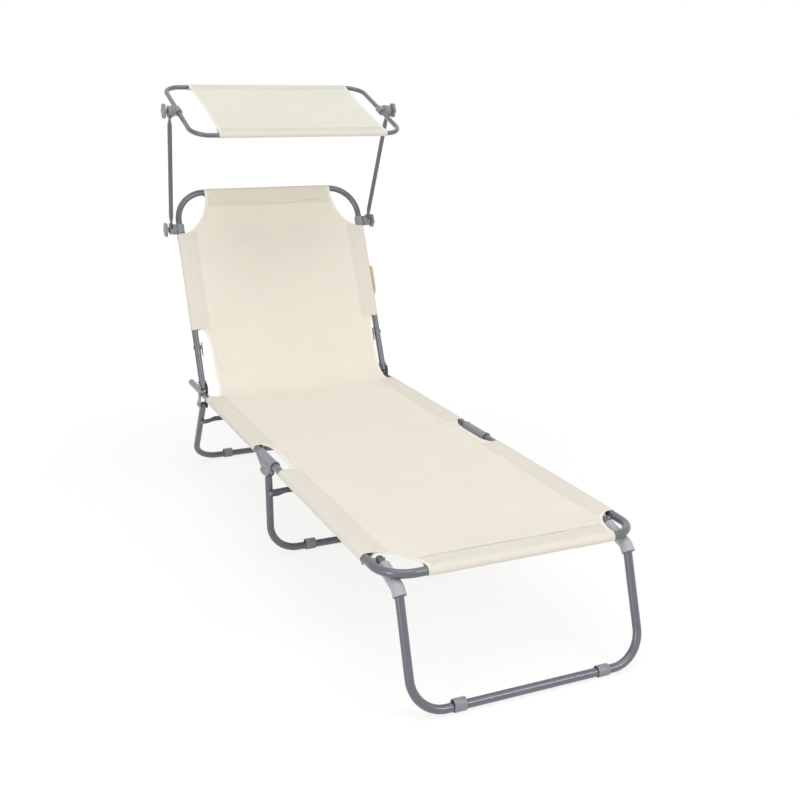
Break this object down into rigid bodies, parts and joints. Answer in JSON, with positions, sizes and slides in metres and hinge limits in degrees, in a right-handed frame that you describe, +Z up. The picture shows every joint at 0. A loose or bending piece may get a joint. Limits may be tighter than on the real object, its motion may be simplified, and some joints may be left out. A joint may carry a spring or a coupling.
{
  "type": "folding sun lounger",
  "caption": "Folding tube-frame sun lounger with a cloth sling, an adjustable backrest with a side pocket, fold-away legs and a tiltable cloth canopy on clamped arms.",
  "frame": {"origin": "centre of the lounger's outline on the ground, under the seat", "axes": "+X to the right for someone at the foot end who looks to the head, +Y from the foot end to the head, +Z up"},
  "size_m": [0.6862, 1.6442, 1.1134],
  "materials": {
    "coated_steel": "satin powder coat, blue-grey",
    "dark_steel": "satin powder coat, dark grey",
    "zinc_steel": "zinc plated, satin",
    "grey_plastic": "moulded, fine matt texture",
    "sling_canvas": "plain weave, cream",
    "canopy_canvas": "plain weave, cream",
    "pocket_canvas": "plain weave, sand"
  },
  "bodies": {
    "seat": {"left_seat_rail": "coated_steel", "right_seat_rail": "coated_steel", "left_rail_cap": "grey_plastic", "right_rail_cap": "grey_plastic", "left_saddle": "grey_plastic", "right_saddle": "grey_plastic", "left_inner_plate": "dark_steel", "right_inner_plate": "dark_steel", "left_outer_plate": "zinc_steel", "right_outer_plate": "zinc_steel", "left_back_pin": "zinc_steel", "right_back_pin": "zinc_steel", "left_rear_leg_pin": "zinc_steel", "right_rear_leg_pin": "zinc_steel", "left_foot_pin": "zinc_steel", "right_foot_pin": "zinc_steel", "left_middle_leg_pin": "zinc_steel", "right_middle_leg_pin": "zinc_steel", "seat_cloth": "sling_canvas"},
    "foot": {"foot_frame": "coated_steel", "foot_cloth": "sling_canvas", "left_front_leg_pin": "zinc_steel", "right_front_leg_pin": "zinc_steel", "left_leg_bush": "grey_plastic", "right_leg_bush": "grey_plastic"},
    "front_leg": {"front_leg": "coated_steel", "left_leg_elbow": "grey_plastic", "right_leg_elbow": "grey_plastic", "front_left_foot_pad": "grey_plastic", "front_right_foot_pad": "grey_plastic"},
    "middle_leg": {"middle_leg": "coated_steel", "middle_brace": "dark_steel", "middle_left_foot_pad": "grey_plastic", "middle_right_foot_pad": "grey_plastic"},
    "rear_leg": {"rear_leg": "coated_steel", "rear_brace": "dark_steel", "rear_left_foot_pad": "grey_plastic", "rear_right_foot_pad": "grey_plastic"},
    "back": {"backrest_frame": "coated_steel", "back_cloth": "sling_canvas", "pocket": "pocket_canvas", "left_back_hook": "zinc_steel", "right_back_hook": "zinc_steel", "left_lower_clamp": "grey_plastic", "right_lower_clamp": "grey_plastic"},
    "left_arm": {"left_canopy_arm": "coated_steel", "left_lower_hub": "grey_plastic", "left_upper_hub": "grey_plastic"},
    "right_arm": {"right_canopy_arm": "coated_steel", "right_lower_hub": "grey_plastic", "right_upper_hub": "grey_plastic"},
    "left_clamp": {"left_upper_clamp": "grey_plastic"},
    "right_clamp": {"right_upper_clamp": "grey_plastic"},
    "canopy": {"canopy_frame": "coated_steel", "canopy_cloth": "canopy_canvas"},
    "left_lower_knob": {"left_lower_knob": "grey_plastic"},
    "right_lower_knob": {"right_lower_knob": "grey_plastic"},
    "left_upper_knob": {"left_upper_knob": "grey_plastic"},
    "right_upper_knob": {"right_upper_knob": "grey_plastic"}
  },
  "joints": [
    {"name": "foot_section_fold", "type": "hinge", "parent": "seat", "child": "foot", "pos_m": [0, -0.03567, 0.243], "axis": [1, 0, 0], "range_deg": [0, 160]},
    {"name": "front_leg_fold", "type": "hinge", "parent": "foot", "child": "front_leg", "pos_m": [0, -0.64867, 0.258], "axis": [1, 0, 0], "range_deg": [0, 120]},
    {"name": "middle_leg_fold", "type": "hinge", "parent": "seat", "child": "middle_leg", "pos_m": [0, -0.01767, 0.233], "axis": [1, 0, 0], "range_deg": [0, 80]},
    {"name": "rear_leg_fold", "type": "hinge", "parent": "seat", "child": "rear_leg", "pos_m": [0, 0.57833, 0.229], "axis": [-1, 0, 0], "range_deg": [0, 120]},
    {"name": "backrest_recline", "type": "hinge", "parent": "seat", "child": "back", "pos_m": [0, 0.57233, 0.2817], "axis": [-1, 0, 0], "range_deg": [-70, 61]},
    {"name": "canopy_arm_swing", "type": "hinge", "parent": "back", "child": "left_arm", "pos_m": [0, 0.76724, 0.70938], "axis": [1, 0, 0], "range_deg": [-75, 60]},
    {"name": "canopy_arm_swing_right", "type": "hinge", "parent": "back", "child": "right_arm", "pos_m": [0, 0.76724, 0.70938], "axis": [1, 0, 0], "range_deg": [-75, 60]},
    {"name": "canopy_tilt", "type": "hinge", "parent": "left_arm", "child": "left_clamp", "pos_m": [0, 0.64684, 1.04609], "axis": [1, 0, 0], "range_deg": [-70, 70]},
    {"name": "canopy_tilt_right", "type": "hinge", "parent": "right_arm", "child": "right_clamp", "pos_m": [0, 0.64684, 1.04609], "axis": [1, 0, 0], "range_deg": [-70, 70]},
    {"name": "canopy_slide", "type": "slide", "parent": "left_clamp", "child": "canopy", "axis": [0, -0.9403, -0.3404], "range_m": [-0.09, 0.09]},
    {"name": "left_lower_knob_turn", "type": "hinge", "parent": "left_arm", "child": "left_lower_knob", "pos_m": [-0.32, 0.76724, 0.70938], "axis": [-1, 0, 0], "continuous": true},
    {"name": "right_lower_knob_turn", "type": "hinge", "parent": "right_arm", "child": "right_lower_knob", "pos_m": [0.32, 0.76724, 0.70938], "axis": [1, 0, 0], "continuous": true},
    {"name": "left_upper_knob_turn", "type": "hinge", "parent": "left_arm", "child": "left_upper_knob", "pos_m": [-0.33, 0.64684, 1.04609], "axis": [-1, 0, 0], "continuous": true},
    {"name": "right_upper_knob_turn", "type": "hinge", "parent": "right_arm", "child": "right_upper_knob", "pos_m": [0.33, 0.64684, 1.04609], "axis": [1, 0, 0], "continuous": true}
  ],
  "couplings": [
    {"joint": "front_leg_fold", "follows": "foot_section_fold", "ratio": 0.75},
    {"joint": "middle_leg_fold", "follows": "foot_section_fold", "ratio": 0.5},
    {"joint": "rear_leg_fold", "follows": "foot_section_fold", "ratio": 0.75},
    {"joint": "canopy_arm_swing_right", "follows": "canopy_arm_swing", "ratio": 1},
    {"joint": "canopy_tilt_right", "follows": "canopy_tilt", "ratio": 1}
  ]
}
